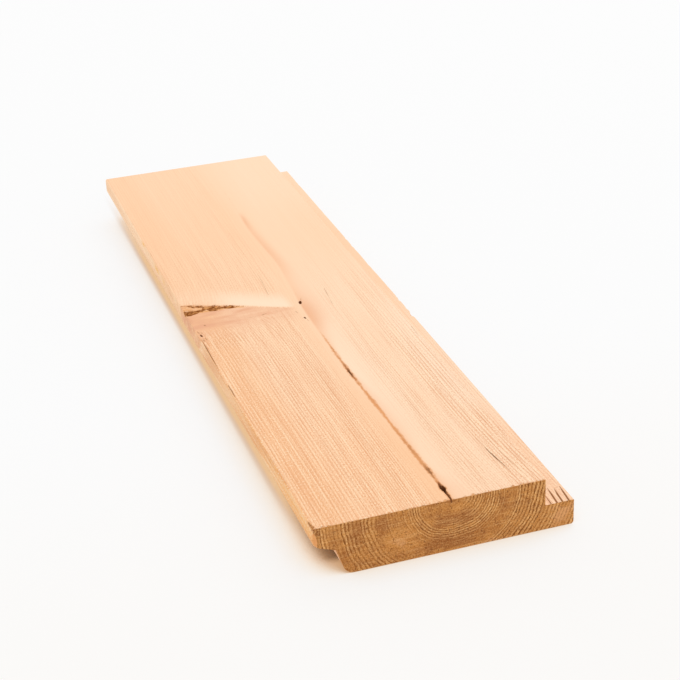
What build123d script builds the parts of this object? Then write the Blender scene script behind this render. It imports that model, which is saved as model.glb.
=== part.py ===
from build123d import *
import math
import os

# Heat-treated pine cladding board, half-lapped along both long edges.
# The section lies in the XZ plane and the grain runs along Y.
# The show face is up, the back face is on Z = 0, and the origin is under the middle of the board.
# All lengths are in millimetres and all angles are in degrees.

# Overall sizes
board_length = 420.0
board_width = 117.0
board_thickness = 25.0

# Right-hand edge: a square rebate is cut from the show face and leaves a lower lip
lower_lip_reach = 13.5
lower_lip_thickness = 12.0

# Left-hand edge: a splayed rebate is cut from the back face and leaves a tapered upper lip
upper_lip_reach = 9.5
upper_lip_root_height = 12.8
lip_underside_rise = 19.0
lap_wall_lean = 19.0

# Roundings of the section's corners
lap_wall_foot_radius = 5.0
lip_nose_radius = 2.5
lip_root_radius = 0.8
rebate_root_radius = 0.5
heel_radius = 1.2
arris_radius = 0.5


def slope(angle):
    """Travel to the side for each unit of travel along a line that leans by angle."""
    return math.tan(math.radians(angle))


def board_section():
    """Closed section of the board, seen from the end that faces -Y."""
    left = -board_width / 2
    right = board_width / 2
    lip_root = left + upper_lip_reach
    rebate_wall = right - lower_lip_reach
    nose_foot_height = upper_lip_root_height + upper_lip_reach * slope(lip_underside_rise)
    wall_foot = lip_root + upper_lip_root_height * slope(lap_wall_lean)

    # Corners in order, from the upper lip's tip down the lap and round to the show face
    corner_radii = [
        ((left, board_thickness), arris_radius),
        ((left, nose_foot_height), lip_nose_radius),
        ((lip_root, upper_lip_root_height), lip_root_radius),
        ((wall_foot, 0), lap_wall_foot_radius),
        ((right, 0), heel_radius),
        ((right, lower_lip_thickness), arris_radius),
        ((rebate_wall, lower_lip_thickness), rebate_root_radius),
        ((rebate_wall, board_thickness), arris_radius),
    ]
    corners = [corner for corner, radius in corner_radii]
    radii = [radius for corner, radius in corner_radii]
    outline = FilletPolyline(*corners, radius=radii, close=True)
    return make_face(outline)


def shiplap_board():
    """The section run along the whole length, sawn square at both ends."""
    end_plane = Plane(origin=(0, board_length / 2, 0), x_dir=(1, 0, 0), z_dir=(0, -1, 0))
    return extrude(end_plane * board_section(), amount=board_length)


board = shiplap_board()
board.label = "shiplap_board"

os.makedirs("parts", exist_ok=True)
export_step(board, "parts/shiplap_board.step")

size = board.bounding_box().size
print(f"shiplap_board: {size.X:.2f} x {size.Y:.2f} x {size.Z:.2f} mm")
print(f"section area {board.volume / board_length:.1f} mm2, volume {board.volume:.0f} mm3")
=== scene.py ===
# %% [markdown]
# # A heat-treated pine board, dressed in Blender
# The object is one short length of pine cladding: planed, lapped along both long edges and sawn
# at both ends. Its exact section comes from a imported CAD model, which is loaded here as a fixed
# frame. Everything that follows only adds looks: the growth rings, the torn knot, the open pith
# and the sawn end grain. All lengths below are in millimetres, and `MM` turns them into the
# metres that Blender works in.

# %% Load the frame and read the board's box
import math

import bpy
import numpy as np
from mathutils import Matrix, Vector
from mathutils.geometry import delaunay_2d_cdt


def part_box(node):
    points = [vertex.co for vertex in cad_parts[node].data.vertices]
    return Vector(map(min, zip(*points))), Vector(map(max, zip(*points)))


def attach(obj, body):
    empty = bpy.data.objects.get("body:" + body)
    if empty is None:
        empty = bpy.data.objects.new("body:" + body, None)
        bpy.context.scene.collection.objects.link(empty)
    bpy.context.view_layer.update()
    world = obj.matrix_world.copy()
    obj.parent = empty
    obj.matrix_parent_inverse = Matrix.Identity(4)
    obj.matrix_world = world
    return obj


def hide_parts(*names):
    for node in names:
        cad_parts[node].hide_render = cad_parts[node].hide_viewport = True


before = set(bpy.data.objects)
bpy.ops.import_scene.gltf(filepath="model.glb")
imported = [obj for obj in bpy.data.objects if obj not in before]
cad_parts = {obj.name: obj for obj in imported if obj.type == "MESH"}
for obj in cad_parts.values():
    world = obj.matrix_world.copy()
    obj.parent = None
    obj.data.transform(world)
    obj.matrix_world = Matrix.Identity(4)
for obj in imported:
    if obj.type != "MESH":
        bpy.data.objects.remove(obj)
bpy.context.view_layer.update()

MM = 0.001
low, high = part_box("shiplap_board")
LEFT, NEAR, BACK = (round(value / MM, 3) for value in low)
RIGHT, FAR, SHOW = (round(value / MM, 3) for value in high)
print(f"board {RIGHT - LEFT:.1f} x {FAR - NEAR:.1f} x {SHOW - BACK:.1f} mm")

# %% [markdown]
# ## The section
# A lapped board has a square lower lip on one edge and a tapered upper lip on the other, so that
# neighbours shed rain. The mesh that the CAD model brings has long thin faces, which can't hold a
# tear or a crack. It could be subdivided, but then the points would fall anywhere. Here the
# section is drawn again from its few sizes, with an arc at each corner, and with points as close
# together as the detail on each face needs.

# %% Sizes of the two laps and radii of the section's corners
lower_lip_reach = 13.5
lower_lip_thickness = 12.0
upper_lip_reach = 9.5
upper_lip_root_height = 12.8
lap_angle = 19.0
arris_radius = 0.5
lip_nose_radius = 2.5
lip_root_radius = 0.8
lap_wall_foot_radius = 5.0
heel_radius = 1.2
rebate_root_radius = 0.5

lap_lean = math.tan(math.radians(lap_angle))
rebate_wall = RIGHT - lower_lip_reach
lip_bed = BACK + lower_lip_thickness
lip_root = LEFT + upper_lip_reach
root_height = BACK + upper_lip_root_height
nose_foot = root_height + upper_lip_reach * lap_lean
wall_foot = lip_root + upper_lip_root_height * lap_lean
print(f"nose {SHOW - nose_foot:.1f} mm tall, back face {RIGHT - wall_foot:.1f} mm wide")


# %% Points along an edge, closer where they are needed
ruler_marks = 5001


def graded(start, end, spacing):
    """Places from start to end that are as far apart as the (place, spacing) pairs ask."""
    ruler = np.linspace(start, end, ruler_marks)
    wanted = np.interp(ruler, *zip(*spacing))
    steps = np.cumsum(np.append(0.0, np.diff(ruler) / wanted[1:]))
    count = math.ceil(steps[-1])
    return np.interp(np.linspace(0.0, steps[-1], count + 1), steps, ruler)


# %% An arc for each corner
arc_step = 0.7
fewest_arc_steps = 4


def unit(vector):
    return vector / np.linalg.norm(vector)


def corner_arc(before, corner, after, radius):
    """Points of the arc that rounds a corner between its two neighbours."""
    to_before = unit(before - corner)
    to_after = unit(after - corner)
    half_angle = math.acos(to_before @ to_after) / 2
    centre = corner + unit(to_before + to_after) * radius / math.sin(half_angle)
    start = corner + to_before * radius / math.tan(half_angle) - centre
    end = corner + to_after * radius / math.tan(half_angle) - centre
    first = math.atan2(start[1], start[0])
    turn = math.remainder(math.atan2(end[1], end[0]) - first, 2 * math.pi)
    steps = max(fewest_arc_steps, math.ceil(radius * abs(turn) / arc_step))
    angles = first + turn * np.linspace(0.0, 1.0, steps + 1)
    return centre + radius * np.stack([np.cos(angles), np.sin(angles)], axis=-1)


# %% The whole outline, from the upper lip's tip down, along the back and over the show face
pith_middle = 1.0
to_pith = rebate_wall - pith_middle
fine, medium, plain, coarse, wide = 0.3, 0.55, 1.2, 1.4, 6.5
nose_spacing, lip_spacing = 0.9, 0.32
crack_from, crack_to = 10.5, 15.5
show_spacing = [
    (crack_from - 1, medium), (crack_from, fine), (crack_to, fine), (crack_to + 1, medium),
    (to_pith - 6, medium), (to_pith - 3, fine), (to_pith + 3, fine), (to_pith + 6, medium),
]
corners = [
    ((LEFT, SHOW), arris_radius, [(0, nose_spacing)]),
    ((LEFT, nose_foot), lip_nose_radius, [(0, plain)]),
    ((lip_root, root_height), lip_root_radius, [(0, coarse)]),
    ((wall_foot, BACK), lap_wall_foot_radius, [(0, wide)]),
    ((RIGHT, BACK), heel_radius, [(0, plain)]),
    ((RIGHT, lip_bed), arris_radius, [(0, lip_spacing)]),
    ((rebate_wall, lip_bed), rebate_root_radius, [(0, coarse)]),
    ((rebate_wall, SHOW), arris_radius, show_spacing),
]


def rounded_outline(corners):
    """Points round the section: each corner's arc, then points as wanted on the edge after it."""
    places = [np.array(place) for place, radius, spacing in corners]
    after = places[1:] + places[:1]
    arcs = []
    for index, (place, radius, spacing) in enumerate(corners):
        arcs.append(corner_arc(places[index - 1], places[index], after[index], radius))
    runs = []
    for index, (place, radius, spacing) in enumerate(corners):
        start = arcs[index][-1]
        run = arcs[(index + 1) % len(arcs)][0] - start
        reach = np.linalg.norm(run)
        shares = graded(0.0, reach, spacing)[1:-1] / reach
        runs += [arcs[index], start + shares[:, None] * run]
    return np.concatenate(runs)


outline = rounded_outline(corners)
ahead = np.roll(outline, -1, axis=0) - np.roll(outline, 1, axis=0)
outward = np.stack([ahead[:, 1], -ahead[:, 0]], axis=-1)
outward /= np.linalg.norm(outward, axis=1, keepdims=True)
print(f"outline of {len(outline)} points")


# %% Compare the outline with the CAD section
def distance_to_outline(points, loop):
    """Shortest distance from each point to a closed loop of straight runs."""
    run = np.roll(loop, -1, axis=0) - loop
    offset = points[:, None] - loop[None]
    share = np.clip((offset * run).sum(-1) / (run * run).sum(-1), 0.0, 1.0)
    return np.linalg.norm(offset - share[..., None] * run, axis=-1).min(axis=1)


cad_points = np.array([vertex.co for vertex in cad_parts["shiplap_board"].data.vertices]) / MM
cad_gap = distance_to_outline(cad_points[:, [0, 2]], outline).max()
print(f"the CAD section and this outline differ by {cad_gap:.3f} mm at most")

# %% [markdown]
# ## How the tree grew
# Pine has a pith, the soft centre of the stem, and rings round it. In this board the pith lies
# in the show face and runs the whole length, so the face is split into two fans of straight
# lines, and the sawn ends show the same rings as arcs. A flat picture of wood can't do that. So
# the rings are worked out in space: each point of the board gets a ring number from its distance
# to the pith. A branch left the stem at the middle of the board, and the rings bend round it.

# %% Helpers for smooth changes
def ease(value):
    """A soft step from 0 to 1."""
    value = np.clip(value, 0.0, 1.0)
    return value * value * (3.0 - 2.0 * value)


def soft_step(value, start, end):
    """A soft step from 0 at start to 1 at end, where end may be the lower of the two."""
    return ease((value - start) / (end - start))


def smooth_curve(points):
    """A smooth function through a few given (place, value) points, level outside them."""
    places, values = np.array(points, dtype=float).T
    slopes = np.gradient(values, places)
    slopes[[0, -1]] = 0.0

    def curve(place):
        place = np.clip(place, places[0], places[-1])
        index = np.clip(np.searchsorted(places, place) - 1, 0, len(places) - 2)
        span = places[index + 1] - places[index]
        share = (place - places[index]) / span
        bend_in = slopes[index] * span * share * (1.0 - share) ** 2
        bend_out = slopes[index + 1] * span * share ** 2 * (share - 1.0)
        return values[index] + (values[index + 1] - values[index]) * ease(share) + bend_in + bend_out

    return curve


# %% The pith's line along the board and the spike knot's two borders
pith = smooth_curve([
    (-210, 2.2), (-157, 1.0), (-120, 0.2), (-87, -0.5), (-60, -0.6), (-40, -0.3), (-5, 0.6),
    (20, 2.5), (50, 4.0), (70, 3.3), (100, 2.6), (120, 3.4), (210, 4.0),
])
pith_depth = smooth_curve([(-60, 0.0), (60, 3.0), (210, 5.0)])
knot_top = smooth_curve([
    (-58.5, 15.3), (-45, 10.3), (-32, 4.5), (-20, -2.0), (-10, -7.0), (-3, -9.0),
])
knot_foot = smooth_curve([
    (-58.5, -16.0), (-42, -16.0), (-30, -12.5), (-20, -11.5), (-10, -10.5), (-3, -9.5),
])
print(f"the pith wanders from x {pith(NEAR):.1f} to {pith(FAR):.1f} mm")

# %% Ring numbers, with the drift of the grain and the bend round the knot
ring_spacing = smooth_curve([
    (0, 1.22), (14, 1.16), (24, 1.18), (29, 1.35), (34, 1.62), (44, 1.66), (52, 1.56), (65, 1.55),
])
left_drift = smooth_curve([
    (-210, 2.25), (-196, 2.1), (-180, 2.0), (-164, 1.85), (-148, 1.6), (-132, 1.25), (-116, 0.85),
    (-100, 0.5), (-84, 0.3), (-60, 0.0), (60, 0.0), (210, 0.6),
])
right_drift = smooth_curve([
    (-210, 5.1), (-196, 3.85), (-180, 2.6), (-164, 1.7), (-148, 1.1), (-132, 0.7), (-100, 0.25),
    (-60, 0.0), (0, 0.3), (60, 1.0), (210, 2.0),
])
pith_softness = 8.0
knot_start_x, knot_start_y = -3.0, -9.0
knot_lean = 0.22
knot_bend = 9.5
bend_length = 13.0
reach_below, reach_above = 15.0, 12.0
bend_below, bend_above = -13.0, -6.0
ring_reach = 70.0
ring_marks = 1401
ruler = np.linspace(0.0, ring_reach, ring_marks)
rings_within = np.cumsum(np.append(0.0, np.diff(ruler) / ring_spacing(ruler[1:])))


def from_pith(x, y, z):
    """Distance across and down from the pith."""
    return x - pith(y), SHOW - z + pith_depth(y)


def ring_number(x, y, z):
    """How many rings lie between the pith and each point."""
    across, down = from_pith(x, y, z)
    rightness = soft_step(across, -4.0, 12.0)
    drift = left_drift(y) + (right_drift(y) - left_drift(y)) * rightness
    close = np.exp(-(across / pith_softness) ** 2)
    radius = np.hypot(x - drift + (drift - pith(y)) * close, down)
    knot_axis = knot_start_y + knot_lean * (knot_start_x - x)
    above = soft_step(y - knot_axis, -6.0, 6.0)
    near_knot = np.exp(-np.abs(y - knot_axis) / (reach_below + (reach_above - reach_below) * above))
    bend_start = bend_below + (bend_above - bend_below) * above
    bend = knot_bend * near_knot * soft_step(x, bend_start, bend_start - bend_length)
    bend = bend * soft_step(z, 4.0, 18.0)
    return np.interp(np.maximum(radius - bend, 0.0), ruler, rings_within)


print(f"about {ring_number(LEFT, -100.0, SHOW):.0f} rings from the pith to the left edge")

# %% [markdown]
# ## Where the surface is broken
# Heat treatment makes pine brittle. The pith has opened into a slit with a pit at the near end,
# the knot has torn out under the planer, and there are small specks and one crack. Such marks
# could be painted in a picture, but a mark with a depth needs its place in the mesh too. Each is
# a brush stroke: a few places with a half width. The stroke gives the distance inside its edge,
# which later sets both the depth in the mesh and the dark colour in the material.

# %% Brush strokes and mottling
lattice = 64
far_outside = -50.0


def stroke(x, y, points):
    """Distance inside the edge of a stroke through (x, y, half width) points, negative outside."""
    inside = np.full(np.shape(x), far_outside)
    for (x0, y0, half0), (x1, y1, half1) in zip(points, points[1:]):
        run_x = x1 - x0
        run_y = y1 - y0
        share = np.clip(((x - x0) * run_x + (y - y0) * run_y) / (run_x ** 2 + run_y ** 2), 0.0, 1.0)
        gap = np.hypot(x - x0 - share * run_x, y - y0 - share * run_y)
        inside = np.maximum(inside, half0 + share * (half1 - half0) - gap)
    return inside


def mottling(across, along, width, length, seed):
    """Smooth random values from 0 to 1 in cells of this width and length."""
    cells = np.random.default_rng(seed).random((lattice, lattice))
    column = np.floor(across / width).astype(int)
    row = np.floor(along / length).astype(int)
    share_across = ease(across / width - column)
    share_along = ease(along / length - row)

    def cell(right, up):
        return cells[(row + up) % lattice, (column + right) % lattice]

    lower = cell(0, 0) + (cell(1, 0) - cell(0, 0)) * share_across
    upper = cell(0, 1) + (cell(1, 1) - cell(0, 1)) * share_across
    return lower + (upper - lower) * share_along


# %% The open pith, the specks and the crack
slit_half = smooth_curve([
    (-210, 0.45), (-206, 0.35), (-203, 0.55), (-200, 1.05), (-196, 0.4), (-193, 0.4), (-186, 0.7),
    (-182, 0.7), (-165, 0.5), (-157, 0.25), (-150, 0.35), (-140, 0.05), (-130, 0.35), (-120, 0.55),
    (-110, 0.1), (-97, 0.2), (-87, 0.6), (-75, 0.15), (-62, 0.05), (-54, -0.1), (-46, -0.3),
    (-40, -1.0),
])
slit_depth = smooth_curve([
    (-210, 2.0), (-200, 2.2), (-193, 0.6), (-160, 0.3), (-120, 0.2), (-87, 0.7), (-62, 0.3),
    (-46, 0.1),
])
slit_darkness = smooth_curve([
    (-210, 0.65), (-206, 0.65), (-200, 1.0), (-197, 0.75), (-194, 0.1), (-190, 0.4), (-185, 0.65),
    (-180, 0.2), (-165, 0.2), (-158, 0.15), (-153, 0.1), (-105, 0.1), (-98, 0.15), (-93, 0.25),
    (-88, 0.95), (-84, 0.5), (-79, 0.3), (-70, 0.15), (-64, 0.3), (-58, 0.1),
])
slit_unevenness = 0.5
specks = [
    [(0.2, -6.2, 0.5), (0.5, -4.8, 0.8), (0.9, -3.6, 0.5)],
    [(-2.7, -22.4, 0.4), (-2.5, -23.8, 0.35)],
    [(-57.0, -21.2, 0.3), (-56.7, -23.0, 0.45)],
]
crack = [
    (31.5, -174.0, 0.0), (32.0, -181.0, 0.2), (32.5, -186.0, 0.28), (33.3, -192.0, 0.12),
    (34.0, -199.0, 0.0),
]
strong_rings = [
    [(-35.2, -60.0, 0.2), (-33.8, -110.0, 0.9), (-32.3, -142.0, 1.0), (-31.9, -190.0, 0.5)],
    [(-16.2, -30.0, 0.2), (-15.4, -80.0, 0.9), (-14.5, -150.0, 0.9), (-14.2, -196.0, 0.3)],
    [(15.2, -85.0, 0.2), (15.6, -140.0, 0.8), (18.0, -196.0, 0.3)],
    [(32.0, -40.0, 0.0), (33.5, -110.0, 0.4), (35.3, -165.0, 1.0), (38.0, -205.0, 1.0)],
]
brown_lines = [
    [(17.4, 7.0, 0.05), (16.8, 1.0, 0.22), (15.2, -16.0, 0.05)],
    [(-9.9, 42.0, 0.0), (-10.8, 26.0, 0.2), (-12.2, 10.0, 0.05)],
    [(43.8, -53.0, 0.2), (43.5, -64.0, 0.2)],
    [(-58.1, 81.0, -0.1), (-58.0, 86.0, 0.1), (-58.1, 91.0, -0.1)],
    [(-58.1, -77.0, 0.2), (-58.0, -84.0, 0.5), (-58.1, -91.0, 0.2)],
    [(-32.0, -12.0, 0.0), (-27.0, -11.6, 0.1), (-23.0, -11.0, 0.0)],
    [(-21.8, -11.4, 0.3), (-20.8, -10.8, 0.3)],
    [(-19.9, -10.4, 0.2), (-19.5, -10.8, 0.2)],
    [(-14.0, -9.4, 0.15), (-13.4, -10.4, 0.1)],
    [(-52.4, -11.3, 0.4), (-52.1, -12.0, 0.35)],
    [(-57.6, -17.0, 0.2), (-57.2, -19.4, 0.3)],
    [(-56.2, -18.0, 0.1), (-55.9, -20.2, 0.2)],
    [(-55.7, -25.4, 0.25), (-55.2, -28.4, 0.25)],
    [(-57.2, -26.0, 0.2), (-56.9, -29.5, 0.3)],
    [(-4.8, -13.8, 0.15), (-4.4, -16.4, 0.15)],
    [(-2.1, -25.4, 0.15), (-1.7, -28.0, 0.05)],
    [(1.6, -2.4, 0.2), (2.6, 0.4, 0.05)],
    [(31.1, -165.0, 0.0), (31.4, -172.0, 0.05), (31.8, -178.0, 0.0)],
    [(36.1, -179.0, 0.0), (36.7, -186.0, 0.1), (37.4, -195.0, 0.0)],
]
arris_line = [
    (-57.8, -26.0, 0.1), (-57.9, -36.0, 0.3), (-58.0, -50.0, 0.2), (-58.1, -62.0, 0.0),
]
lip_lines = [
    [(47.8, -211.0, 0.3), (48.2, -203.5, 0.15)],
    [(50.5, -211.0, 0.4), (51.2, -203.0, 0.4), (51.7, -197.5, 0.1)],
    [(53.0, -211.0, 0.4), (53.6, -204.0, 0.4), (54.2, -199.0, 0.1)],
    [(56.0, -211.0, 0.4), (56.7, -203.0, 0.35), (57.2, -198.0, 0.1)],
]


def deepest_inside(x, y, strokes):
    """Distance inside the nearest of several strokes."""
    return np.max([stroke(x, y, points) for points in strokes], axis=0)


def slit_inside(x, y):
    """Distance inside the open pith, whose edge is uneven."""
    uneven = slit_unevenness * (mottling(x, y, 2.0, 3.5, seed=14) - 0.5)
    return slit_half(y) + uneven - np.abs(x - pith(y))


print(f"{len(specks)} specks, and a slit up to {2 * slit_half(-198.0):.1f} mm wide")

# %% The torn knot
torn_patches = [
    [(-58.8, 15.0, 0.35), (-55.0, 14.0, 0.5), (-52.5, 12.6, 0.8), (-50.0, 11.6, 1.1),
     (-48.3, 11.0, 0.6)],
    [(-46.3, 8.3, 2.0), (-43.5, 7.0, 3.4), (-41.0, 6.6, 2.2), (-39.8, 7.4, 1.0)],
    [(-38.8, 6.0, 1.1), (-36.2, 5.4, 1.7), (-33.6, 4.2, 1.5), (-32.0, 3.8, 0.9)],
    [(-31.0, 3.7, 0.1), (-27.5, 2.7, 0.0)],
    [(-58.8, 5.4, 3.3), (-55.0, 5.4, 3.0), (-52.5, 5.6, 2.1), (-50.5, 6.2, 1.4),
     (-48.0, 7.4, 1.0)],
]
tear_foot = smooth_curve([(-58.5, 1.8), (-52, 3.2), (-43, 2.8), (-33, 2.2), (-26, 0.5)])
torn_edge_jag = 1.3


def torn_inside(x, y):
    """Distance inside the dark torn patches, with a splintered edge."""
    jag = mottling(x, y, 1.6, 1.1, seed=11) + 0.6 * mottling(x, y, 0.6, 0.6, seed=12) - 0.8
    return deepest_inside(x, y, torn_patches) + torn_edge_jag * jag


def torn_zone(x, y):
    """The whole stretch that broke out: dark patches and the pale splinters between them."""
    inside = np.minimum(knot_top(x) - y, y - tear_foot(x))
    return soft_step(inside, -0.3, 0.5) * soft_step(x, -26.0, -30.0)


def knot_wood(x, y):
    """The branch's own wood, sharp above and fading out below."""
    above_foot = y - knot_foot(x)
    fading = 0.6 * soft_step(above_foot, -6.0, 4.0) + 0.4 * soft_step(above_foot, -18.0, -4.0)
    strength = 0.8 * soft_step(x, -2.0, -8.0) + 0.2 * soft_step(x, -42.0, -54.0)
    return soft_step(knot_top(x) - y, -0.4, 0.8) * fading * strength


# %% [markdown]
# ## The grid and its relief
# The skin of the board is one grid: the outline's points run round, and stations run along the
# grain, closest at the knot and at the near end. Columns near the pith follow its line, so that
# the slit stays sharp. Sculpting by hand would work too, but a formula can be changed and run
# again. All relief goes inward, because a planed board has no bumps that stand proud of it.

# %% Lay out the grid
row_spacing = [
    (NEAR, 0.35), (NEAR + 2, 0.4), (NEAR + 6, 0.8), (NEAR + 16, 0.9), (NEAR + 22, 2.8), (-32, 2.8),
    (-26, 0.48), (17, 0.48), (24, 2.8), (FAR - 8, 2.8), (FAR - 3, 0.8),
]
follow_reach = 12.0
face_tolerance = 0.01
stations = graded(NEAR, FAR, row_spacing)
row_count = len(stations)
column_count = len(outline)
on_show = outline[:, 1] > SHOW - face_tolerance
from_arris = np.minimum(outline[:, 0] - LEFT, rebate_wall - outline[:, 0])
follow = on_show * soft_step(from_arris, 0.0, follow_reach)
skin = np.empty((row_count, column_count, 3))
skin[..., 0] = outline[:, 0] + follow * (pith(stations)[:, None] - pith_middle)
skin[..., 1] = stations[:, None]
skin[..., 2] = outline[:, 1]
sound_skin = skin.copy()
print(f"{row_count} stations x {column_count} points")

# %% Depth of the broken places on the show face
slit_wall = 0.45
speck_wall, speck_depth = 0.4, 0.7
crack_wall, crack_depth = 0.25, 0.9
tear_depth = 1.1
splinter_depth = 0.35
knot_dish = 0.12


def show_face_depth(x, y):
    """How far the show face is broken in, in millimetres."""
    rough = mottling(x, y, 2.2, 0.8, seed=21)
    slit = np.clip(slit_inside(x, y) / slit_wall, 0.0, 1.0) * slit_depth(y)
    speck = np.clip(deepest_inside(x, y, specks) / speck_wall, 0.0, 1.0) * speck_depth
    split = np.clip(stroke(x, y, crack) / crack_wall, 0.0, 1.0) * crack_depth
    torn = soft_step(torn_inside(x, y), -0.3, 0.9) * tear_depth * (0.5 + rough)
    splinters = torn_zone(x, y) * splinter_depth * mottling(x, y, 3.0, 0.9, seed=22)
    dish = knot_dish * knot_wood(x, y)
    return np.max([slit, speck, split, torn + splinters], axis=0) + dish


depth = np.zeros((row_count, column_count))
depth[:, on_show] = show_face_depth(skin[:, on_show, 0], skin[:, on_show, 1])
print(f"deepest break {depth.max():.2f} mm")

# %% Bruised arrises
wear_reach = 1.3
nick_place = -15.0
nick_length = 4.0
nick_spread = 2.5
nick_depth = 0.9


def arris_wear(corner_x, corner_z, deepest, seed):
    """Small dents along one long edge, in patches."""
    x, y, z = np.moveaxis(skin, -1, 0)
    close = ease(1.0 - np.hypot(x - corner_x, z - corner_z) / wear_reach)
    patches = soft_step(mottling(x, y, 30.0, 17.0, seed), 0.5, 0.8)
    nicks = mottling(x, y, 30.0, 1.7, seed + 1) ** 2
    return deepest * close * patches * nicks


worn_edges = [(LEFT, SHOW, 0.75, 31), (RIGHT, lip_bed, 0.55, 33), (rebate_wall, SHOW, 0.3, 35)]
for worn_edge in worn_edges:
    depth += arris_wear(*worn_edge)
at_lip = ease(1.0 - np.hypot(skin[..., 0] - RIGHT, skin[..., 2] - lip_bed) / nick_spread)
depth += nick_depth * at_lip * ease(1.0 - np.abs(skin[..., 1] - nick_place) / nick_length)
skin[..., 0] -= outward[:, 0] * depth
skin[..., 2] -= outward[:, 1] * depth
print(f"{len(worn_edges)} worn edges and one nick in the lower lip")

# %% The saw's ragged edge along the near end, and the broken corner
ragged_least = 0.1
ragged_most = 1.9
chip_roughness = 0.9
chip_length, chip_width, chip_height = 8.0, 1.6, 1.8
split_length, split_width, split_top = 1.5, 1.8, 0.5


def cut_corner(points, first, second, third):
    """Moves what lies outside the rough plane through three places onto that plane."""
    first, second, third = (np.array(place) for place in (first, second, third))
    normal = unit(np.cross(second - first, third - first))
    x, y, z = np.moveaxis(points, -1, 0)
    rough = chip_roughness * (mottling(y, z, 1.3, 0.9, seed=45) - 0.5)
    outside = np.maximum((points - first) @ normal + rough, 0.0)
    points -= outside[..., None] * normal
    return outside


def fray(points):
    """Bites small teeth out of the near end's upper edge and of its left edge."""
    x, y, z = np.moveaxis(points, -1, 0)
    from_end = y - NEAR
    groups = mottling(x, 0.0 * x, 6.0, 1.0, seed=42)
    top_bite = ragged_least + ragged_most * groups * mottling(x, 0.0 * x, 0.8, 1.0, seed=41) ** 2
    top_push = np.maximum(top_bite - (SHOW - z) - from_end, 0.0) / 2
    side_bite = ragged_least + ragged_most * mottling(z, 0.0 * z, 0.8, 1.0, seed=43) ** 2
    side_push = np.maximum(side_bite - (x - LEFT) - from_end, 0.0) / 2
    push = np.maximum(top_push, side_push)
    x += side_push
    y += push
    z -= top_push
    return push


chip_end = (LEFT, NEAR + chip_length, SHOW)
chip_foot = (LEFT, NEAR, SHOW - chip_height)
chipped = cut_corner(skin, chip_end, chip_foot, (LEFT + chip_width, NEAR, SHOW))
split_tip = (LEFT, NEAR, SHOW - split_top)
split_foot = (LEFT, NEAR + split_length, nose_foot)
split_off = cut_corner(skin, split_tip, split_foot, (LEFT + split_width, NEAR, nose_foot))
# The near end's fray; the painted shade on the lap wall joins it among the facts below
fray_and_painted_shade = fray(skin)
print(f"relief reaches {np.abs(skin - sound_skin).max():.2f} mm")

# %% [markdown]
# ## The sawn ends
# A circular saw leaves the end grain rough and lightly grooved. The end could be one large face,
# but then nothing on it could carry the rings' numbers or the saw's grooves. Here a lattice of
# points is laid inside the section and joined by a Delaunay mesh, whose rim is the skin's own
# last row, so that the board stays one closed piece.

# %% Fill an end
end_step = 1.15
rim_clearance = 0.65
keep_inside = 1
same_place = 1e-6
saw_groove = 0.09
saw_pitch = 2.4
saw_lean = math.radians(62.0)


def inside_loop(points, loop):
    """True for each point that lies within a closed loop."""
    x, z = points.T[:, :, None]
    x0, z0 = loop.T
    x1, z1 = np.roll(loop, -1, axis=0).T
    straddles = (z0 > z) != (z1 > z)
    crossing = x0 + (z - z0) * (x1 - x0) / np.where(z1 == z0, 1.0, z1 - z0)
    return (straddles & (x < crossing)).sum(axis=1) % 2 == 1


def end_mesh(rim):
    """Places within the rim, and triangles that join them to it and to each other."""
    columns = np.arange(LEFT, RIGHT, end_step)
    levels = np.arange(BACK, SHOW, end_step * math.sqrt(3.0) / 2)
    x, z = np.meshgrid(columns, levels)
    x[1::2] += end_step / 2
    places = np.stack([x.ravel(), z.ravel()], axis=-1)
    places = places[inside_loop(places, rim)]
    places = places[distance_to_outline(places, rim) > rim_clearance]
    points = [Vector(place) for place in np.concatenate([rim, places])]
    edges = [(index, (index + 1) % len(rim)) for index in range(len(rim))]
    result = delaunay_2d_cdt(points, edges, [], keep_inside, same_place)
    source = [origin[0] for origin in result[3]]
    triangles = [tuple(source[corner] for corner in face) for face in result[2]]
    return places, triangles


def saw_marks(x, z):
    """Depth of the shallow grooves that a saw blade leaves."""
    travel = x * math.cos(saw_lean) + z * math.sin(saw_lean)
    wave = 0.5 + 0.5 * np.sin(travel * 2.0 * math.pi / saw_pitch)
    return saw_groove * wave * mottling(x, z, 9.0, 5.0, seed=51)


# %% [markdown]
# ## One closed mesh
# The skin and both ends become one mesh, because the real board is one piece. Each point keeps
# what is known of the wood there as a named attribute: its ring number, how clear the rings are,
# and how far it lies inside a slit or a tear. A material can read these between the points too,
# so fine lines come out sharper than the grid itself.

# %% Join the skin and the ends
def sawn_end(rim, level, inward):
    """An end's inner points, with the saw's grooves pressed in, and its triangles."""
    places, triangles = end_mesh(rim[:, [0, 2]])
    x, z = places.T
    return np.stack([x, level + inward * saw_marks(x, z), z], axis=-1), triangles


near_points, near_triangles = sawn_end(skin[0], NEAR, 1.0)
far_points, far_triangles = sawn_end(skin[-1], FAR, -1.0)
points = np.concatenate([skin.reshape(-1, 3), near_points, far_points])
sound_points = np.concatenate([sound_skin.reshape(-1, 3), near_points, far_points])
skin_total = row_count * column_count
print(f"{len(points)} points, of which {len(near_points)} and {len(far_points)} inside the ends")

# %% Faces of the skin, the near end and the far end
index = np.arange(skin_total).reshape(row_count, column_count)
beside = np.roll(index, -1, axis=1)
quads = np.stack([index[:-1], index[1:], beside[1:], beside[:-1]], axis=-1).reshape(-1, 4)


def end_faces(triangles, rim_start, inner_start, flip):
    """An end's triangles with the numbers that its points have in the whole mesh."""
    faces = []
    for triangle in triangles:
        face = []
        for corner in triangle:
            on_rim = corner < column_count
            face.append(rim_start + corner if on_rim else inner_start + corner - column_count)
        faces.append(face[::-1] if flip else face)
    return faces


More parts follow.
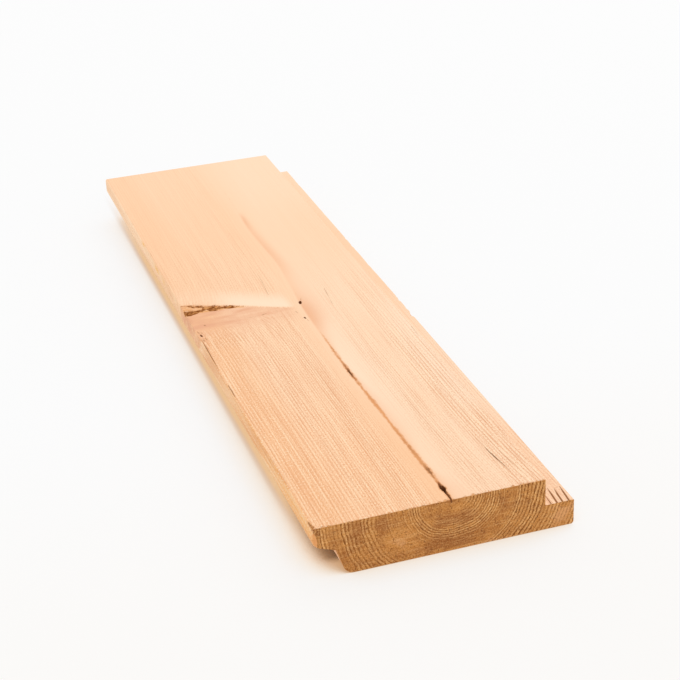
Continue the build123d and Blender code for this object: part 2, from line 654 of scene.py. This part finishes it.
near_faces = end_faces(near_triangles, 0, skin_total, False)
far_faces = end_faces(far_triangles, skin_total - column_count, skin_total + len(near_points), True)
faces = quads.tolist() + near_faces + far_faces
mesh = bpy.data.meshes.new("planed_board")
mesh.from_pydata((points * MM).tolist(), [], faces)
mesh.validate()
sharp_angle = math.radians(38.0)
mesh.shade_smooth()
mesh.set_sharp_from_angle(angle=sharp_angle)
end_slots = np.zeros(len(mesh.polygons), dtype=np.int32)
end_slots[len(quads):] = 1
mesh.polygons.foreach_set("material_index", end_slots)
triangle_total = 2 * len(quads) + len(near_faces) + len(far_faces)
print(f"{triangle_total} triangles")

# %% Curves for the clearness of the rings, the tone of the wood and the red heart
clear_left = smooth_curve([
    (0, 0.0), (4, 0.2), (8, 0.5), (12, 0.9), (17, 0.9), (22, 0.8), (27, 0.9), (31, 1.0), (36, 0.85),
    (41, 0.72), (47, 0.8), (60, 0.85),
])
clear_right = smooth_curve([
    (0, 0.0), (6, 0.1), (10, 0.3), (14, 0.62), (18, 0.65), (22, 0.52), (27, 0.55), (31, 0.95),
    (46, 0.95),
])
clear_along = smooth_curve([
    (-210, 1.0), (-100, 1.0), (-40, 0.9), (0, 0.75), (30, 0.52), (60, 0.42), (90, 0.28), (120, 0.2),
    (210, 0.18),
])
end_clear_left = smooth_curve([
    (0, 0.1), (7, 0.15), (12, 0.4), (14, 0.8), (18, 0.8), (22, 0.5), (29, 0.5), (34, 0.75), (60, 0.8),
])
end_clear_right = smooth_curve([
    (0, 0.1), (5, 0.3), (9, 0.7), (22, 0.8), (25, 0.35), (28, 0.4), (31, 1.1), (42, 1.1), (46, 0.9),
    (60, 1.0),
])
smooth_places = [
    (-22, 9, 10, 7, 0.8), (-2, 4, 13, 4, 0.8), (2, 18, 8, 4, 0.7), (19, 7, 9, 3, 0.6),
    (-29, 19, 3, 5, 0.6), (-40, 20, 3, 4, 0.5), (-44, 5, 7, 6, 0.55),
]
side_clearness = 0.55
margin_strength = 0.68
tone_share = 0.43
# The tone grows paler towards the far end: partly the wood, partly painted light
far_paling_and_painted_light = smooth_curve([
    (-210, 0.0), (-172, 0.03), (-80, 0.33), (20, 0.37), (100, 0.31), (150, 0.36), (210, 0.42),
])
tone_step = smooth_curve([
    (-210, 0.62), (-150, 0.6), (-110, 0.56), (-40, 0.36), (10, 0.28), (40, 0.22), (110, 0.24),
    (150, 0.3), (210, 0.28),
])
right_tone = smooth_curve([(12, 0.0), (20, -0.12), (27, -0.14), (33, 0.05), (40, 0.2), (46, 0.18)])
tone_blend = smooth_curve([(-210, 7.0), (0, 7.0), (60, 12.0), (120, 22.0), (210, 34.0)])
edge_warmth = smooth_curve([(-210, 1.0), (-100, 0.6), (60, 0.4), (210, 0.15)])
# Painted light: the long edges grow paler towards the far end
edge_paling_as_painted_light = smooth_curve([(-210, 0.0), (-80, 0.1), (20, 0.45), (70, 0.6), (120, 0.9), (210, 0.9)])
red_along = smooth_curve([
    (-210, 0.4), (-110, 0.4), (-60, 0.35), (-45, 0.4), (-25, 0.95), (-10, 0.95), (2, 0.55), (20, 0.3),
    (45, 0.5), (60, 0.6), (95, 0.5), (117, 0.6), (124, 0.1), (160, 0.0),
])
red_reach = smooth_curve([
    (-210, 8.5), (-197, 5.5), (-185, 1.8), (-60, 2.0), (-40, 4.5), (-25, 7.0), (-5, 7.5), (20, 7.0),
    (50, 4.5), (90, 3.0), (120, 2.0),
])
facet_width = smooth_curve([(15.5, 1.2), (17, 1.7), (19, 1.8), (21, 1.2), (23, 0.3), (24, -0.6)])
resin_spots = [(70, 22.6, 5, 1.4, 1.0), (103.5, 24.3, 3, 0.9, 0.8), (54, 22, 3, 1.5, 0.5)]
end_stains = [
    (-40, 20, 4, 4, 1.0), (-28, 20, 3, 5, 0.9), (3, 15, 8, 3, 1.2), (2, 5, 11, 4, 1.0),
    (-44, 10, 4, 6, 0.3), (-20, 11, 6, 5, -1.1), (8, 21, 4, 3, -0.5), (36, 6, 14, 3, -0.1),
    (54, 7, 8, 6, -0.9), (-52, 19, 5, 5, -0.2), (26, 18, 3, 5, 0.5), (18, 0.2, 22, 0.9, -1.6),
    (52, 5, 8, 6, -0.6), (-57, 23.5, 2, 1.6, 1.6),
]

# %% What the wood is like at each point
x, y, z = sound_points.T
across, down = from_pith(x, y, z)
radius = np.hypot(across, down)
rightness = 0.5 + 0.5 * across / np.maximum(radius, 1.0)
clearly_moved = 0.3
below = SHOW - z
at_face = soft_step(below, 3.0, 0.0)
on_bed = soft_step(x, rebate_wall, rebate_wall + 1.0) * soft_step(np.abs(z - lip_bed), 1.0, 0.0)
at_left_edge = soft_step(x, LEFT + 0.6, LEFT + 0.1)
at_edge = at_left_edge + soft_step(x, RIGHT - 0.6, RIGHT - 0.1)


def both_sides(left_curve, right_curve):
    """Two curves over the distance from the pith, joined round it."""
    return left_curve(radius) * (1.0 - rightness) + right_curve(radius) * rightness


def blots(side, places):
    """Sum of soft round blots, given as (side, z, reach to the side, reach in z, amount)."""
    total = np.zeros(len(x))
    for blot_side, blot_z, reach_side, reach_z, amount in places:
        total += amount * np.exp(-((side - blot_side) / reach_side) ** 2 - ((z - blot_z) / reach_z) ** 2)
    return total


def on_skin(moved):
    """1 where the skin was clearly moved, and 0 inside the ends."""
    return np.append(soft_step(moved.ravel(), 0.0, clearly_moved), np.zeros(len(x) - skin_total))


# %% How clear the rings are, and how the wood's colour changes over the board, partly as painted light
def ring_clearness(knot, pale):
    """How strongly the rings show on the planed faces."""
    past_knot = (1.0 - 0.35 * soft_step(y, -75.0, -35.0)) * (1.0 - 0.5 * soft_step(y, 10.0, 60.0))
    under_knot = soft_step(y, -45.0, -33.0) * soft_step(y, -16.0, -22.0) * soft_step(x, -34.0, -42.0)
    by_rebate = soft_step(across, 33.0, 39.0) * soft_step(y, -160.0, -130.0)
    clear = both_sides(clear_left, clear_right) * (1.0 - 0.35 * on_bed)
    clear *= 1.0 - (1.0 - past_knot) * rightness
    clear *= (1.0 + 0.6 * under_knot) * (1.0 - 0.28 * by_rebate)
    aside = soft_step(below, 0.5, 2.5) * (1.0 - on_bed)
    along = clear_along(y) + aside * np.maximum(side_clearness - clear_along(y), 0.0)
    return clear * along * (1.0 - 0.8 * knot) * (1.0 - 0.9 * pale)


def end_clearness():
    """How strongly the rings show on the sawn ends."""
    return both_sides(end_clear_left, end_clear_right) * np.clip(1.0 - blots(x, smooth_places), 0.1, 1.0)


def pale_wood():
    """The smooth pale wood above the knot."""
    height = y - knot_top(x)
    pale = soft_step(height, 0.0, 2.0) * soft_step(height, 25.0, 5.0) * at_face
    return pale * (0.25 + 0.75 * soft_step(x, -48.0, -26.0)) * soft_step(x, -2.0, -8.0)


def red_heart():
    """The red wood on the right of the pith."""
    red = red_along(y) * soft_step(across, -1.4, 0.2) * at_face
    return np.clip(red * np.exp(-(np.maximum(across, 0.0) / red_reach(y)) ** 2), 0.0, 1.0)


def wood_tone_and_painted_light():
    """Deep to pale straw, 0 to 1: a step at the pith, and paler far off, partly as painted light."""
    beside_slit = soft_step(y, -155.0, -125.0) * soft_step(y, 0.0, -60.0)
    past_pith = ease(across / tone_blend(y) + tone_share)
    return far_paling_and_painted_light(y) + tone_step(y) * past_pith + right_tone(x) * beside_slit


def margin():
    """Browner colour along the left edge of the show face, strongest on the near half."""
    near_half = 1.0 - 0.75 * soft_step(y, -5.0, 25.0)
    return margin_strength * soft_step(x, -34.0, -50.0) * near_half * at_face


# %% Give each point its facts
fact_limit = 3.0
facet_depth = 3.0
into_hole = 0.45
into_face = 1.5
into_bed = 2.0


def mark(inside, fading, depth=below):
    """Distance inside a mark, less with the depth below the face that it is on."""
    return np.clip(inside - fading * depth, -fact_limit, fact_limit)


def facts_of_the_wood():
    """Attribute names with a value for each point."""
    knot = knot_wood(x, y) * soft_step(z, 13.0, 22.0)
    pale = pale_wood()
    cracks = mark(deepest_inside(x, y, [crack, arris_line]), into_hole)
    bed_lines = mark(deepest_inside(x, y, lip_lines), into_bed, np.abs(z - lip_bed))
    rings_here = mark(deepest_inside(x, y, strong_rings), into_face)
    # Painted shade on the lap wall under the upper lip, close to the near end, laid on with the colour of
    # the fray
    painted_lap_shade = soft_step(y, NEAR + 4.0, NEAR + 1.0) * soft_step(x, -40.0, -42.0)
    painted_lap_shade *= soft_step(z, nose_foot - 1.0, nose_foot - 3.0)
    return {
        "growth_ring": ring_number(x, y, z),
        "ring_clearness": ring_clearness(knot, pale),
        "margin": margin(),
        "tone_and_painted_light": wood_tone_and_painted_light(),
        "open_wood": mark(deepest_inside(x, y, specks), into_hole),
        "split_wood": np.maximum(cracks, bed_lines),
        "pith_slit": mark(slit_inside(x, y), into_hole),
        "slit_darkness": slit_darkness(y),
        "strong_ring": soft_step(rings_here, -0.6, 0.6),
        "brown_line": mark(deepest_inside(x, y, brown_lines), into_face),
        "torn": mark(torn_inside(x, y), into_face),
        "torn_zone": torn_zone(x, y) * at_face,
        "knot_wood": knot,
        "red_heart": red_heart(),
        "pale_wood": pale,
        "end_stain": blots(x, end_stains),
        "facet": np.where(y < NEAR + facet_depth, facet_width(z) - (x - LEFT), -fact_limit),
        "edge_grain": edge_warmth(y) * at_edge,
        "painted_edge_light": edge_paling_as_painted_light(y) * at_edge,
        "resin": blots(y, resin_spots) * at_left_edge,
        "chipped": on_skin(chipped),
        "split_off": on_skin(split_off),
        "fray_and_painted_shade": np.maximum(on_skin(fray_and_painted_shade), 0.8 * painted_lap_shade),
        "end_clearness": end_clearness(),
    }


for name, values in facts_of_the_wood().items():
    attribute = mesh.attributes.new(name, "FLOAT", "POINT")
    attribute.data.foreach_set("value", values.astype(np.float32))
    print(f"{name}: {values.min():.2f} to {values.max():.2f}")

# %% [markdown]
# ## Shader maths as Python
# A wood finish is a long sum of small effects. Wiring each Math node by hand hides the sum. So one
# small class wraps a socket, and adding or multiplying two wrapped sockets adds the Math node.
# Any other node comes from one method, which takes the node's type, its settings and its inputs.

# %% A wire of the node tree
class Wire:
    """One socket of a node tree that takes part in Python expressions."""

    def __init__(self, tree, socket):
        self.tree = tree
        self.socket = socket

    @classmethod
    def node(cls, tree, kind, settings, inputs, output=0):
        """Adds a node: first its settings, then the values or wires of its sockets."""
        made = tree.nodes.new(kind)
        for name, value in settings.items():
            setattr(made, name, value)
        for name, value in inputs.items():
            if isinstance(value, Wire):
                tree.links.new(value.socket, made.inputs[name])
            else:
                made.inputs[name].default_value = value
        return cls(tree, made.outputs[output])

    def maths(self, operation, *values):
        return Wire.node(self.tree, "ShaderNodeMath", {"operation": operation}, dict(enumerate(values)))

    def __add__(self, other):
        return self.maths("ADD", self, other)

    def __sub__(self, other):
        return self.maths("SUBTRACT", self, other)

    def __rsub__(self, other):
        return self.maths("SUBTRACT", other, self)

    def __mul__(self, other):
        return self.maths("MULTIPLY", self, other)

    __radd__ = __add__
    __rmul__ = __mul__


# %% Words for the nodes that a finish uses most
wood_sheen = 0.06


def reading(tree, name):
    """A named attribute of the mesh."""
    return Wire.node(tree, "ShaderNodeAttribute", {"attribute_name": name}, {}, output="Fac")


def place_in_wood(tree):
    """Each point's place in millimetres."""
    place = Wire.node(tree, "ShaderNodeTexCoord", {}, {}, output="Object")
    return Wire.node(tree, "ShaderNodeVectorMath", {"operation": "SCALE"}, {0: place, "Scale": 1 / MM})


def flecks(place, size, detail=2.0):
    """Smooth noise from 0 to 1, with cells of this size in millimetres along X, Y and Z."""
    stretched = Wire.node(place.tree, "ShaderNodeVectorMath", {"operation": "DIVIDE"}, {0: place, 1: size})
    inputs = {"Vector": stretched, "Scale": 1.0, "Detail": detail, "Roughness": 0.55}
    return Wire.node(place.tree, "ShaderNodeTexNoise", {}, inputs)


def rise(value, start, end):
    """A soft step of a wire from 0 at start to 1 at end."""
    inputs = {"Value": value, "From Min": start, "From Max": end}
    return Wire.node(value.tree, "ShaderNodeMapRange", {"interpolation_type": "SMOOTHSTEP"}, inputs)


def tint(mask, first, second):
    """The first colour where the mask is 0, and the second where it is 1."""
    settings = {"data_type": "RGBA", "clamp_factor": True}
    return Wire.node(mask.tree, "ShaderNodeMix", settings, {0: mask, 6: first, 7: second}, output=2)


def layered(colour, layers):
    """The colour with each (mask, colour) pair laid over it in turn."""
    for mask, paint in layers:
        colour = tint(mask, colour, paint)
    return colour


def display_colour(*levels):
    """A colour as a screen shows it, from 0 to 255, turned into the shader's linear values."""
    shares = [level / 255 for level in levels]
    linear = [share / 12.92 if share <= 0.04045 else ((share + 0.055) / 1.055) ** 2.4 for share in shares]
    return (*linear, 1.0)


def new_finish(name):
    """A material with its node tree and its Principled shader."""
    material = bpy.data.materials.new(name)
    material.use_nodes = True
    return material, material.node_tree, material.node_tree.nodes["Principled BSDF"]


def connect(wire, shader, socket):
    wire.tree.links.new(wire.socket, shader.inputs[socket])


def dress(shader, colour, roughness, height, bump_strength, bump_depth):
    """Gives a wood finish its colour, its roughness and its fine relief."""
    bump_inputs = {"Strength": bump_strength, "Distance": bump_depth, "Height": height}
    connect(colour, shader, "Base Color")
    connect(roughness, shader, "Roughness")
    connect(Wire.node(height.tree, "ShaderNodeBump", {}, bump_inputs), shader, "Normal")
    shader.inputs["Specular IOR Level"].default_value = wood_sheen


# %% [markdown]
# ## Growth rings as lines
# Each ring is pale early wood that ends in a thin hard line of late wood. The ring number's
# fraction says where in its ring a point lies, and its whole part picks a strength for that ring,
# because no two years were alike. Both finishes use these lines, the planed faces faintly and
# the sawn ends strongly. A Wave texture would give rings too, but all alike.

# %% Lines from the ring number
uneven_size = (2.4, 190.0, 2.4)


def ring_share(place, wander_size, wander_rings, uneven_rings):
    """How far each point lies through its ring, from 0 to 1, and that ring's strength."""
    tree = place.tree
    wander = wander_rings * flecks(place, wander_size) + uneven_rings * flecks(place, uneven_size)
    ring = reading(tree, "growth_ring") + wander
    whole = ring.maths("FLOOR", ring)
    vigour = Wire.node(tree, "ShaderNodeTexWhiteNoise", {"noise_dimensions": "1D"}, {"W": whole})
    return ring - whole, vigour


def late_wood(share):
    return rise(share, 0.3, 0.7) * (1.0 - rise(share, 0.75, 1.0))


def early_wood(share):
    return 1.0 - rise(share, 0.05, 0.3)


# %% [markdown]
# ## Planed faces
# Planed heat-treated pine is a warm straw colour with a faint pink. Over it lie the ring lines,
# streaks along the grain, fine fibres and short dark resin canals. The pith's heart is redder,
# the wood above the knot paler, and the knot itself brown. Each of these is one layer here, from
# the broadest to the smallest, so that any can be changed alone. The same masks drive a slight
# bump and the roughness.

# %% Colours of the planed faces
straw_deep = display_colour(248, 198, 155)
straw_pale = display_colour(252, 223, 195)
margin_straw = display_colour(243, 184, 133)
edge_straw = display_colour(245, 179, 103)
# Colour of the painted light on the long edges towards the far end
painted_edge_light_colour = display_colour(255, 220, 184)
resin_gold = display_colour(246, 182, 84)
fibre_light = display_colour(255, 226, 190)
fibre_tan = display_colour(224, 160, 116)
line_brown = display_colour(218, 153, 109)
canal_brown = display_colour(176, 112, 66)
pale_cream = display_colour(253, 223, 194)
knot_tan = display_colour(230, 172, 136)
heart_red = display_colour(232, 166, 122)
slit_orange = display_colour(220, 146, 84)
splinter_tan = display_colour(226, 162, 100)
facet_orange = display_colour(236, 166, 106)
torn_brown = display_colour(152, 92, 44)
speck_brown = display_colour(104, 52, 14)
split_brown = display_colour(140, 84, 34)
pit_brown = display_colour(94, 50, 18)

# %% Sizes of the grain, as flecks along X, Y and Z
fibre_size = (0.5, 1.1, 0.5)
thread_size = (0.55, 45.0, 0.55)
streak_size = (5.0, 160.0, 5.0)
bead_size = (0.8, 50.0, 0.8)
canal_size = (0.5, 5.0, 0.5)
wander_size = (20.0, 160.0, 20.0)
pale_grain_size = (0.8, 9.0, 0.8)
knot_cloud_size = (14.0, 5.0, 5.0)
splinter_size = (3.2, 0.7, 0.7)
shred_size = (1.4, 0.5, 0.5)
slit_bead_size = (0.9, 2.6, 0.9)


# %% Clear wood: tone, fibres and ring lines
def clear_wood(place, lines, early, fibre):
    """The sound wood's colour, with nothing broken yet."""
    tree = place.tree
    clear = reading(tree, "ring_clearness")
    thread = flecks(place, thread_size)
    canals = rise(flecks(place, canal_size), 0.66, 0.76) * clear
    # The tone's paling towards the far end is partly painted light
    tone_and_painted_light = reading(tree, "tone_and_painted_light") + 0.16 * flecks(place, streak_size) - 0.08
    return layered(tint(tone_and_painted_light, straw_deep, straw_pale), [
        (reading(tree, "margin"), margin_straw),
        (reading(tree, "edge_grain"), edge_straw),
        # Painted light: paler long edges towards the far end
        (reading(tree, "painted_edge_light"), painted_edge_light_colour),
        (reading(tree, "resin"), resin_gold),
        (1.25 * clear * rise(fibre, 0.5, 0.3), fibre_light),
        (1.05 * clear * rise(fibre, 0.5, 0.7), fibre_tan),
        (0.6 * clear * rise(thread, 0.5, 0.3), fibre_light),
        (0.5 * clear * rise(thread, 0.5, 0.7), fibre_tan),
        (0.4 * early, fibre_light),
        (0.52 * lines, line_brown),
        (0.35 * canals, canal_brown),
    ])


# %% The pale wood above the knot, the knot and the red heart
def knot_and_heart(place, colour):
    """The colours that the branch and the pith give the wood."""
    tree = place.tree
    grain = flecks(place, pale_grain_size)
    cloud = flecks(place, knot_cloud_size)
    return layered(colour, [
        (reading(tree, "pale_wood") * (0.75 + 0.2 * grain), pale_cream),
        (reading(tree, "knot_wood") * (2.3 * cloud - 0.4), knot_tan),
        (0.65 * reading(tree, "red_heart"), heart_red),
    ])


# %% Broken wood: the tear, the dark lines, the broken corner, the slit and the specks
def broken_wood(place, colour, torn, late):
    """The colours of all that is torn, split or open."""
    tree = place.tree
    splinter = flecks(place, splinter_size)
    shreds = tint(rise(splinter, 0.35, 0.7), splinter_tan, straw_deep)
    shadowed = tint(rise(splinter, 0.46, 0.66), torn_brown, splinter_tan)
    fringe = tint(rise(splinter, 0.36, 0.52), split_brown, splinter_tan)
    slit = reading(tree, "pith_slit") + 1.8 * flecks(place, slit_bead_size) - 0.9
    return layered(colour, [
        (0.85 * reading(tree, "torn_zone"), shreds),
        (torn, shadowed),
        (0.14 * late * reading(tree, "strong_ring"), canal_brown),
        (0.65 * rise(reading(tree, "brown_line"), -0.25, 0.25), split_brown),
        (0.9 * reading(tree, "split_off"), facet_orange),
        # The fray's colour, which also lays painted shade on the lap wall at the near end
        (0.8 * reading(tree, "fray_and_painted_shade"), fringe),
        (0.9 * reading(tree, "chipped"), shadowed),
        (0.8 * rise(slit, -1.1, 0.2), slit_orange),
        (rise(slit, -0.3, 0.25) * reading(tree, "slit_darkness"), pit_brown),
        (0.95 * rise(reading(tree, "split_wood"), -0.25, 0.2), split_brown),
        (rise(reading(tree, "open_wood"), -0.3, 0.15), speck_brown),
    ])


# %% The planed finish
def planed_pine():
    """The finish of the show face, the laps and the back."""
    material, tree, shader = new_finish("planed_pine")
    place = place_in_wood(tree)
    fibre = flecks(place, fibre_size, detail=3.0)
    share, vigour = ring_share(place, wander_size, 0.8, 1.05)
    late = late_wood(share)
    beads = 0.5 + rise(flecks(place, bead_size), 0.3, 0.7)
    strength = (0.5 + 0.5 * vigour) * beads * reading(tree, "ring_clearness")
    lines = late * strength
    torn = rise(reading(tree, "torn") + 1.6 * flecks(place, shred_size), 0.5, 1.1)
    colour = clear_wood(place, lines, early_wood(share) * strength, fibre)
    colour = knot_and_heart(place, colour)
    colour = broken_wood(place, colour, torn, late)
    roughness = 0.62 + 0.16 * fibre + 0.15 * torn
    dress(shader, colour, roughness, 0.5 * fibre - 0.6 * lines, 0.35, 0.1 * MM)
    print(f"planed_pine: {len(tree.nodes)} nodes")
    return material


# %% [markdown]
# ## Sawn ends
# End grain drinks light: the open ends of the fibres make it much browner than the planed faces.
# The rings are strong here, with blotches where the saw burnished the wood, fine pores and the
# saw's own scratches. It is the same wood, so it uses the same ring lines with other colours.

# %% Layers of the sawn ends
end_brown = display_colour(204, 138, 72)
end_deep = display_colour(166, 104, 54)
end_line = display_colour(124, 71, 29)
end_pale = display_colour(236, 182, 119)
end_blush = display_colour(226, 166, 116)
end_dark = display_colour(112, 62, 26)
pore_size = (0.55, 0.55, 0.55)
pit_size = (0.9, 0.9, 1.6)
blotch_size = (6.0, 6.0, 4.5)
scratch_size = (12.0, 4.0, 0.45)
end_bead_size = (1.2, 1.2, 1.2)
end_wander_size = (11.0, 11.0, 11.0)


def sawn_pine():
    """The finish of both sawn ends."""
    material, tree, shader = new_finish("sawn_pine")
    place = place_in_wood(tree)
    pores = flecks(place, pore_size, detail=3.0)
    scratch = flecks(place, scratch_size)
    beads = rise(flecks(place, end_bead_size, detail=3.0), 0.25, 0.75)
    share, vigour = ring_share(place, end_wander_size, 1.6, 0.6)
    late = late_wood(share)
    clear = 1.8 * reading(tree, "end_clearness") * beads
    lines = late * late * (0.35 + 0.65 * vigour) * clear
    dark = flecks(place, blotch_size, detail=4.0) + 0.3 * reading(tree, "end_stain")
    colour = layered(tint(rise(dark, 0.3, 0.75), end_brown, end_deep), [
        (0.6 * rise(dark, 0.35, 0.05), end_blush),
        (0.45 * rise(scratch, 0.5, 0.75), end_pale),
        (0.8 * clear * rise(late, 0.5, 0.0) * vigour, end_pale),
        (0.95 * lines, end_line),
        (0.65 * rise(pores, 0.52, 0.7), end_line),
        (0.7 * rise(flecks(place, pit_size), 0.61, 0.73), end_dark),
        (0.42 * rise(pores, 0.48, 0.3), end_pale),
        (0.85 * rise(reading(tree, "facet") + 0.8 * pores, 0.2, 0.7), facet_orange),
        (0.9 * rise(reading(tree, "pith_slit"), -0.25, 0.3), pit_brown),
    ])
    height = 0.6 * pores + 0.5 * scratch - 0.5 * lines
    dress(shader, colour, 0.75 + 0.15 * pores, height, 0.5, 0.15 * MM)
    print(f"sawn_pine: {len(tree.nodes)} nodes")
    return material


# %% Put the board on the frame
mesh.materials.append(planed_pine())
mesh.materials.append(sawn_pine())
planed_board = bpy.data.objects.new("planed_board", mesh)
bpy.context.scene.collection.objects.link(planed_board)
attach(planed_board, "root")
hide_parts("shiplap_board")
print("planed_board stands for shiplap_board")

# %% [markdown]
# ## Floor and light
# The board was photographed in a light tent: white all round, a little more light from above and
# behind. A white floor and a white world give the even part, and one large soft lamp gives the
# rest. The floor adds a little light of its own for the camera alone, so that it reads as white
# and still takes the board's shadow. Close to the board that light is painted: a painted warm
# bounce from the wood, strongest in the strip under the upper lip, where it also stands in for
# the foot of the lip's nose, and a painted shade in the pocket a little way in from the near end.
# An Ambient Occlusion node tells how far the board closes the floor in, and the floor's own place
# tells the strip and the pocket apart.

# %% The floor's colours, with painted shade and painted bounce light near the board
floor_white = 0.9
floor_seen_white = 0.17
# Colours of the painted bounce light and the painted shade on the floor near the board
painted_bounce_blush = (0.98, 0.83, 0.66, 1.0)
painted_amber_shade = (0.62, 0.34, 0.15, 1.0)
painted_pocket_shade = (0.2, 0.12, 0.065, 1.0)
painted_lip_bounce = (0.88, 0.55, 0.27, 1.0)
lip_shade = (0.74, 0.52, 0.36, 1.0)
closing_test = {"Distance": 28.0 * MM}


def grey(level):
    return (level, level, level, 1.0)


def seen_directly(tree):
    """1 where the camera, a gloss or clear glass looks, and 0 for light that only bounces."""
    paths = ["Is Camera Ray", "Is Glossy Ray", "Is Transmission Ray"]
    rays = [Wire.node(tree, "ShaderNodeLightPath", {}, {}, output=path) for path in paths]
    either = rays[0].maths("MAXIMUM", rays[0], rays[1])
    return either.maths("MAXIMUM", either, rays[2])


def along_axis(place, axis):
    return Wire.node(place.tree, "ShaderNodeSeparateXYZ", {}, {0: place}, output=axis)


def floor_colours(tree):
    """Floor colour and light, with painted shade and bounce, in millimetres from the board's edges."""
    seen = seen_directly(tree)
    openness = Wire.node(tree, "ShaderNodeAmbientOcclusion", {"samples": 16}, closing_test, output="AO")
    place = place_in_wood(tree)
    from_left = along_axis(place, "X") - LEFT
    from_near = along_axis(place, "Y") - NEAR
    nearness = rise(from_near, 300.0, 30.0)
    pocket = rise(from_near, 8.0, 15.0) * rise(from_near, 80.0, 30.0)
    strip = rise(from_left, 1.7, 4.9) * rise(from_left, 28.5, 18.5)
    strip = strip * rise(from_near, 25.0, 85.0) * rise(from_near, 470.0, 330.0)
    # Painted warm bounce from the wood, stronger towards the near end, and a painted bounce in front of it
    painted_warmth = rise(openness, 0.8, 0.3) * (0.4 + 0.6 * nearness)
    painted_end_bounce = 0.12 * rise(from_near, 200.0, -50.0)
    # Painted amber shade where the board closes the floor in; under the upper lip, a painted strip of
    # shade and bounce that also stands in for its nose's foot
    painted_amber = rise(openness, 0.54, 0.24) * (0.55 + 0.45 * nearness)
    painted_lip_strip = tint(rise(from_left, 3.9, 5.9), lip_shade, painted_lip_bounce)
    glow = layered(grey(1.0), [(painted_warmth + painted_end_bounce, painted_bounce_blush), (painted_amber, painted_amber_shade), (strip, painted_lip_strip)])
    # Painted shade in the pocket under the lip near the near end: the floor's light fades there and its
    # colour turns brown
    lit = seen * (1.0 - pocket * rise(openness, 0.42, 0.2))
    shaded = tint(pocket * rise(openness, 0.6, 0.25), grey(floor_seen_white), painted_pocket_shade)
    return tint(seen, grey(floor_white), shaded), tint(lit, grey(0.0), glow)


# %% The white floor
floor_reach = 6.0
floor_gap = 0.2 * MM
floor_lift = 0.79
floor_signs = [(-1, -1), (1, -1), (1, 1), (-1, 1)]
floor_corners = [(right * floor_reach, up * floor_reach, 0) for right, up in floor_signs]
floor_mesh = bpy.data.meshes.new("floor")
floor_mesh.from_pydata(floor_corners, [], [(0, 1, 2, 3)])
floor = bpy.data.objects.new("floor", floor_mesh)
floor.location.z = BACK * MM - floor_gap
bpy.context.scene.collection.objects.link(floor)
floor_finish, floor_tree, floor_shader = new_finish("white_floor")
floor_base, floor_glow = floor_colours(floor_tree)
connect(floor_base, floor_shader, "Base Color")
connect(floor_glow, floor_shader, "Emission Color")
floor_shader.inputs["Emission Strength"].default_value = floor_lift
floor_shader.inputs["Roughness"].default_value = 1.0
floor_shader.inputs["Specular IOR Level"].default_value = 0.0
floor_mesh.materials.append(floor_finish)

# %% The white world and the soft lamp
tent_level = 1.0
world = bpy.data.worlds.new("light_tent")
world.use_nodes = True
bpy.context.scene.world = world
background = world.node_tree.nodes["Background"]
background.inputs["Strength"].default_value = tent_level
background.inputs["Color"].default_value = grey(1.0)

lamp_place = Vector((0.75, 0.85, 1.5))
lamp_aim = Vector((0.0, 0.0, 0.0))
lamp_width = 1.3
lamp_watts = 4.0
lamp_data = bpy.data.lights.new("soft_lamp", "AREA")
lamp_data.shape = "DISK"
lamp_data.size = lamp_width
lamp_data.energy = lamp_watts
lamp = bpy.data.objects.new("soft_lamp", lamp_data)
lamp.location = lamp_place
lamp.rotation_mode = "QUATERNION"
lamp.rotation_quaternion = (lamp_aim - lamp_place).to_track_quat("-Z", "Y")
bpy.context.scene.collection.objects.link(lamp)
bpy.context.scene.view_settings.view_transform = "Standard"

# %% [markdown]
# ## Camera
# The camera's place was solved from the board's own corners, so the picture can be laid over the
# photograph. A yaw, a pitch and a small roll give the three axes of the camera; its lens is a
# long one, which keeps the far end large.

# %% The camera
camera_place = Vector((-0.21636, -0.75685, 0.39994))
sensor_width = 36.0
lens_length = 88.5
yaw = math.radians(17.543)
pitch = math.radians(26.948)
roll = math.radians(-2.308)
forward = Vector((math.sin(yaw) * math.cos(pitch), math.cos(yaw) * math.cos(pitch), -math.sin(pitch)))
level_right = Vector((math.cos(yaw), -math.sin(yaw), 0.0))
level_up = level_right.cross(forward)
right = level_right * math.cos(roll) + level_up * math.sin(roll)
up = level_up * math.cos(roll) - level_right * math.sin(roll)
camera_data = bpy.data.cameras.new("camera")
camera_data.sensor_width = sensor_width
camera_data.lens = lens_length
camera = bpy.data.objects.new("camera", camera_data)
axes = Matrix((right, up, -forward)).transposed()
camera.matrix_world = Matrix.LocRotScale(camera_place, axes.to_quaternion(), None)
bpy.context.scene.collection.objects.link(camera)
bpy.context.scene.camera = camera
print(f"camera {(camera_place - Vector((0, NEAR * MM, 0))).length:.2f} m from the near end")
